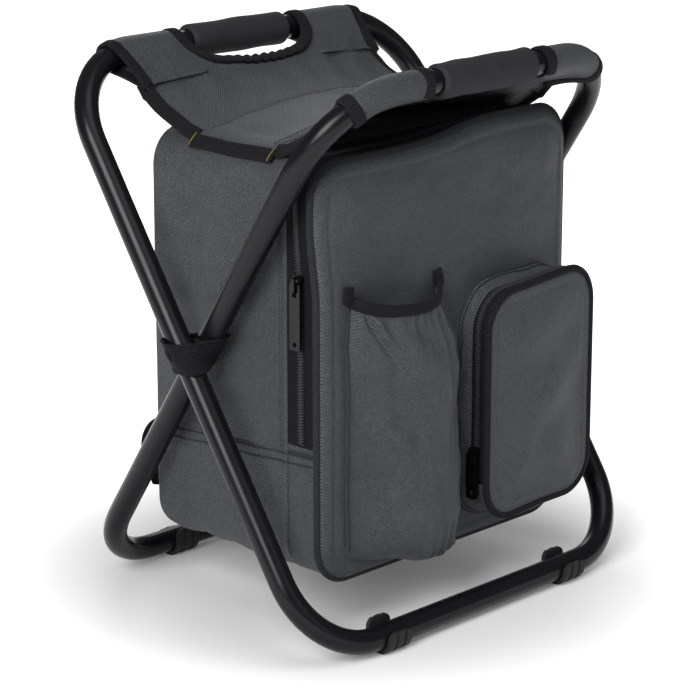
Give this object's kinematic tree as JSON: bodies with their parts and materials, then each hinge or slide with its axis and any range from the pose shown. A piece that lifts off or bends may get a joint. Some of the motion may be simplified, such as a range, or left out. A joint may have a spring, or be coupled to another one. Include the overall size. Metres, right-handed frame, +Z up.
{
  "type": "folding cooler stool",
  "caption": "Folding stool with crossed tube legs, a fabric sling seat, foam hand grips, and an insulated zip-up bag with front pockets hung under the seat.",
  "frame": {"origin": "centre of the footprint on the floor", "axes": "+Z up, +X to the right along the bars seen from the pocket side, the bag's pockets at -Y"},
  "size_m": [0.3714, 0.2846, 0.4154],
  "materials": {
    "frame_paint": "satin black powder coat",
    "grip_foam": "matt closed-cell foam",
    "steel": "plain",
    "foot_rubber": "matt",
    "nylon": "matt moulded",
    "insulation": "soft foam",
    "liner": "foil-faced film",
    "black_tape": "woven tape",
    "grey_cloth": "coarse woven"
  },
  "bodies": {
    "outer_frame": {"outer_frame_tube": "frame_paint", "grip_rear": "grip_foam", "sleeve_rear_left": "grey_cloth", "sleeve_rear_right": "grey_cloth", "foot_front_left": "foot_rubber", "foot_front_right": "foot_rubber", "rivet_left": "steel", "rivet_right": "steel", "spacer_left": "nylon", "spacer_right": "nylon"},
    "inner_frame": {"inner_frame_tube": "frame_paint", "grip_front": "grip_foam", "sleeve_front_left": "grey_cloth", "sleeve_front_right": "grey_cloth", "foot_rear_left": "foot_rubber", "foot_rear_right": "foot_rubber"},
    "pivot_bands": {"band_left": "black_tape", "band_right": "black_tape"},
    "bag": {"bag_shell": "grey_cloth", "bag_insulation": "insulation", "bag_liner": "liner", "main_zip_rear": "black_tape", "gusset_left": "grey_cloth", "gusset_right": "grey_cloth", "seat_middle": "grey_cloth", "strap_pad_left": "black_tape", "strap_pad_right": "black_tape", "strap_buckle_left": "nylon", "strap_buckle_right": "nylon", "strap_web_left": "black_tape", "strap_web_right": "black_tape"},
    "seat_rear_slope": {"seat_rear": "grey_cloth", "seat_rear_binding": "black_tape"},
    "seat_front_slope": {"seat_front": "grey_cloth", "seat_front_binding": "black_tape"},
    "front_flap": {"front_panel": "grey_cloth", "front_insulation": "insulation", "front_liner": "liner", "front_piping": "black_tape", "main_zip_front": "black_tape", "bottle_pocket": "grey_cloth", "bottle_pocket_rim": "black_tape", "pocket_gusset": "grey_cloth", "pocket_zip_rear": "black_tape"},
    "pocket_flap": {"pocket_front": "grey_cloth", "pocket_zip_front": "black_tape"},
    "main_slider": {"main_zip_slider": "steel"},
    "main_pull": {"main_zip_pull": "nylon"},
    "pocket_slider": {"pocket_zip_slider": "steel"},
    "pocket_pull": {"pocket_zip_pull": "nylon"}
  },
  "joints": [
    {"name": "fold", "type": "hinge", "parent": "outer_frame", "child": "inner_frame", "pos_m": [0, 0, 0.21031], "axis": [-1, 0, 0], "range_deg": [0, 59], "deforming": ["seat_middle", "band_left", "band_right"]},
    {"name": "bands_turn", "type": "hinge", "parent": "outer_frame", "child": "pivot_bands", "pos_m": [0, 0, 0.21031], "axis": [-1, 0, 0], "range_deg": [0, 29.6]},
    {"name": "bag_sink", "type": "slide", "parent": "pivot_bands", "child": "bag", "axis": [0, 0, -1], "range_m": [0, 0.0402]},
    {"name": "seat_rear_hang", "type": "hinge", "parent": "outer_frame", "child": "seat_rear_slope", "pos_m": [0, 0.12594, 0.40277], "axis": [1, 0, 0], "range_deg": [0, 36.1]},
    {"name": "seat_front_hang", "type": "hinge", "parent": "inner_frame", "child": "seat_front_slope", "pos_m": [0, -0.12594, 0.40277], "axis": [-1, 0, 0], "range_deg": [0, 36.1]},
    {"name": "front_flap_open", "type": "hinge", "parent": "bag", "child": "front_flap", "pos_m": [0, -0.093, 0.04677], "axis": [1, 0, 0], "range_deg": [0, 25], "deforming": ["gusset_left", "gusset_right"]},
    {"name": "pocket_flap_open", "type": "hinge", "parent": "front_flap", "child": "pocket_flap", "pos_m": [0, -0.1263, 0.06977], "axis": [1, 0, 0], "range_deg": [0, 60]},
    {"name": "main_slider_run", "type": "slide", "parent": "bag", "child": "main_slider", "axis": [0, 0, 1], "range_m": [-0.11, 0.03]},
    {"name": "main_pull_lift", "type": "hinge", "parent": "main_slider", "child": "main_pull", "pos_m": [-0.13559, -0.0755, 0.26577], "axis": [0, 1, 0], "range_deg": [0, 35]},
    {"name": "pocket_slider_run", "type": "slide", "parent": "front_flap", "child": "pocket_slider", "axis": [0, 0, 1], "range_m": [-0.012, 0.085]},
    {"name": "pocket_pull_lift", "type": "hinge", "parent": "pocket_slider", "child": "pocket_pull", "pos_m": [0.0066, -0.1153, 0.11777], "axis": [0, 1, 0], "range_deg": [0, 18]}
  ],
  "couplings": [
    {"joint": "bands_turn", "follows": "fold", "ratio": 0.5},
    {"joint": "bag_sink", "follows": "fold", "m_per_rad": 0.0388},
    {"joint": "seat_rear_hang", "follows": "fold", "ratio": 0.61},
    {"joint": "seat_front_hang", "follows": "fold", "ratio": 0.61}
  ]
}
